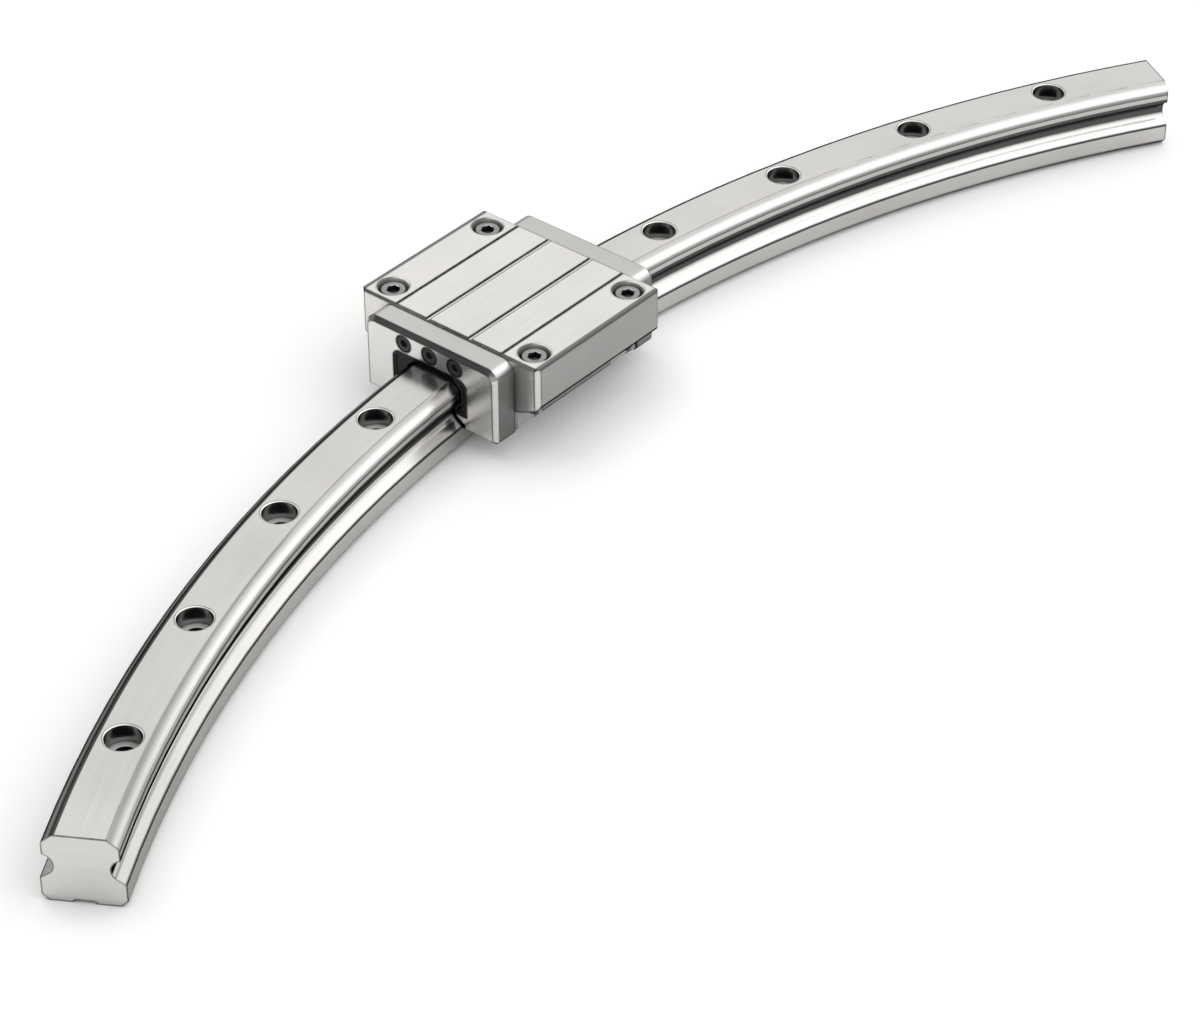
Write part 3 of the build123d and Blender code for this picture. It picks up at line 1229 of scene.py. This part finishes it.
@dataclass
class PhotoCamera:
    """Camera at the photograph's place and angle, with its place measured from the arc's axis."""

    arc_centre: float
    place: Point = (-0.74364, -0.15498, 0.68814)
    forward: Point = (0.614998, 0.511301, -0.600291)
    upward: Point = (0.462885, 0.382217, 0.79978)
    lens: float = 112.244
    sensor: float = 36.0

    def build(self) -> None:
        """Sets the camera up and makes it the scene's own."""
        data = bpy.data.cameras.new("photo_camera")
        data.lens = self.lens
        data.sensor_width = self.sensor
        camera = bpy.data.objects.new("photo_camera", data)
        bpy.context.scene.collection.objects.link(camera)
        forward = Vector(self.forward).normalized()
        right = forward.cross(Vector(self.upward)).normalized()
        upward = right.cross(forward)
        turn = Matrix((right, upward, -forward)).transposed().to_4x4()
        place = Vector(self.place) + Vector((0.0, self.arc_centre, 0.0))
        camera.matrix_world = Matrix.Translation(place) @ turn
        bpy.context.scene.camera = camera
        LOG.info("camera ready")


STEEL_WARMTH = 0.03
# Painted dark outline colour along the sharp edges.
EDGE_OUTLINE_SHADE = grey(0.03, STEEL_WARMTH)
EDGE_MARGIN = 2.1 * MM
BALL_STEEL = Finish(
    name="polished_ball_steel",
    colour=grey(0.72, 0.02),
    edge_colour=grey(0.6, 0.02),
    roughness=0.08,
    grain=Grain.NONE,
    streak_shade=0.02,
)
SCREW_STEEL = Finish(
    name="turned_screw_steel",
    colour=grey(0.33, STEEL_WARMTH),
    edge_colour=grey(0.06, STEEL_WARMTH),
    roughness=0.3,
    grain=Grain.TURNED,
    streak_width=0.00025,
    streak_length=0.004,
    edge_width=0.0003,
    crevice_depth=0.005,
    crevice_shade=0.15,
)
DARK_STEEL = Finish(
    name="blackened_screw_steel",
    colour=grey(0.075, STEEL_WARMTH),
    edge_colour=grey(0.02),
    metallic=0.7,
    roughness=0.42,
    grain=Grain.TURNED,
    streak_width=0.0002,
    streak_length=0.003,
    streak_shade=0.15,
    edge_width=0.0002,
    crevice_depth=0.0015,
    crevice_shade=0.15,
)
RUBBER = Finish(
    name="seal_rubber",
    colour=grey(0.035, 0.02),
    edge_colour=grey(0.015),
    metallic=0.0,
    roughness=0.55,
    grain=Grain.NONE,
    streak_width=0.0003,
    streak_shade=0.2,
    edge_width=0.00015,
)
FLANGE_SCREW = SocketScrew(
    head_diameter=8.5 * MM,
    head_height=5.0 * MM,
    socket_size=4.0 * MM,
    socket_depth=2.5 * MM,
    shank_diameter=5.0 * MM,
    length=16.0 * MM,
    thread_length=6.2 * MM,
    thread_pitch=0.8 * MM,
)
END_SCREW = SocketScrew(
    head_diameter=5.9 * MM,
    head_height=2.2 * MM,
    socket_size=2.5 * MM,
    socket_depth=1.3 * MM,
    shank_diameter=3.0 * MM,
    length=12.0 * MM,
    thread_length=5.2 * MM,
    thread_pitch=0.5 * MM,
    serrations=32,
    serration_depth=0.00006,
    top_chamfer=0.0003,
    foot_chamfer=0.0001,
    turn_steps=24,
)


def rail_steel(arc_centre: float) -> RailFinish:
    """Gives the rail's finish, with marks round the arc's axis."""
    return RailFinish(
        name="ground_rail_steel",
        colour=grey(0.62, STEEL_WARMTH),
        edge_colour=EDGE_OUTLINE_SHADE,
        roughness=0.2,
        grain=Grain.ARC,
        crevice_depth=0.004,
        crevice_shade=0.45,
        arc_centre=arc_centre,
    )


def body_steel(studs: dict[str, Any]) -> CarriageFinish:
    """Gives the carriage body's finish, with its holes where the flange screws are."""
    track = studs["pos_m"][1]
    return CarriageFinish(
        name="ground_carriage_steel",
        colour=grey(0.72, STEEL_WARMTH),
        edge_colour=EDGE_OUTLINE_SHADE,
        roughness=0.24,
        grain=Grain.ALONG,
        track=track,
        line_from=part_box("carriage_body")[1][1] - track - EDGE_MARGIN,
        bolt_along=studs["dims"]["spacing_x_mm"] * MM,
        bolt_across=studs["dims"]["spacing_y_mm"] * MM,
        # Painted light on the flange holes' walls, painted shade on the long sides, top bevels and deep
        # places.
        bore_shade=1.1,
        bore_wall_metal=0.3,
        side_shade=0.5,
        rim_shade=0.15,
        crevice_depth=0.005,
        crevice_shade=0.45,
    )


def plate_steel(track: float) -> Finish:
    """Gives the end plates' finish, even about the rail's middle."""
    return Finish(
        name="brushed_plate_steel",
        colour=grey(0.74, STEEL_WARMTH),
        edge_colour=EDGE_OUTLINE_SHADE,
        roughness=0.3,
        grain=Grain.ACROSS,
        track=track,
        line_from=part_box("end_plate_front")[1][1] - track - EDGE_MARGIN,
        # Painted shade on the long sides, the top, the bevels across the ends and the deep places.
        side_shade=0.3,
        top_shade=0.75,
        cross_rim_shade=0.3,
        crevice_shade=0.2,
    )


def main() -> None:
    """Builds the camera, the studio and the guide, in order."""
    logging.basicConfig(level=logging.INFO, format="%(message)s")
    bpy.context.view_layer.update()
    arc_centre = frame["record"]["behaviour"]["joints"][0]["pos_m"][1]
    studs = next(mount for mount in frame["record"]["mounts"] if mount["name"] == "flange_studs")
    ends = (("front", Facing.FRONT, -1.0), ("rear", Facing.REAR, 1.0))
    flange_places = {
        f"flange_screw_{end}_{side}": Facing.UP for end, _, _ in ends for side in ("outer", "inner")
    }
    end_places = {
        f"end_screw_{end}_{side}": facing for end, facing, _ in ends for side in ("left", "middle", "right")
    }
    PhotoCamera(arc_centre).build()
    Studio().build()
    GuideRail(rail_steel(arc_centre)).build()
    Carriage(body_steel(studs), plate_steel(studs["pos_m"][1]), BALL_STEEL).build()
    ScrewSet(FLANGE_SCREW, SCREW_STEEL, "flange_screw_steel", flange_places).build()
    ScrewSet(END_SCREW, DARK_STEEL, "end_screw_steel", end_places).build()
    for end, _, outward in ends:
        WiperSeal(f"end_seal_{end}", RUBBER, "seal_rubber", outward).build()


if __name__ == "__main__":
    main()
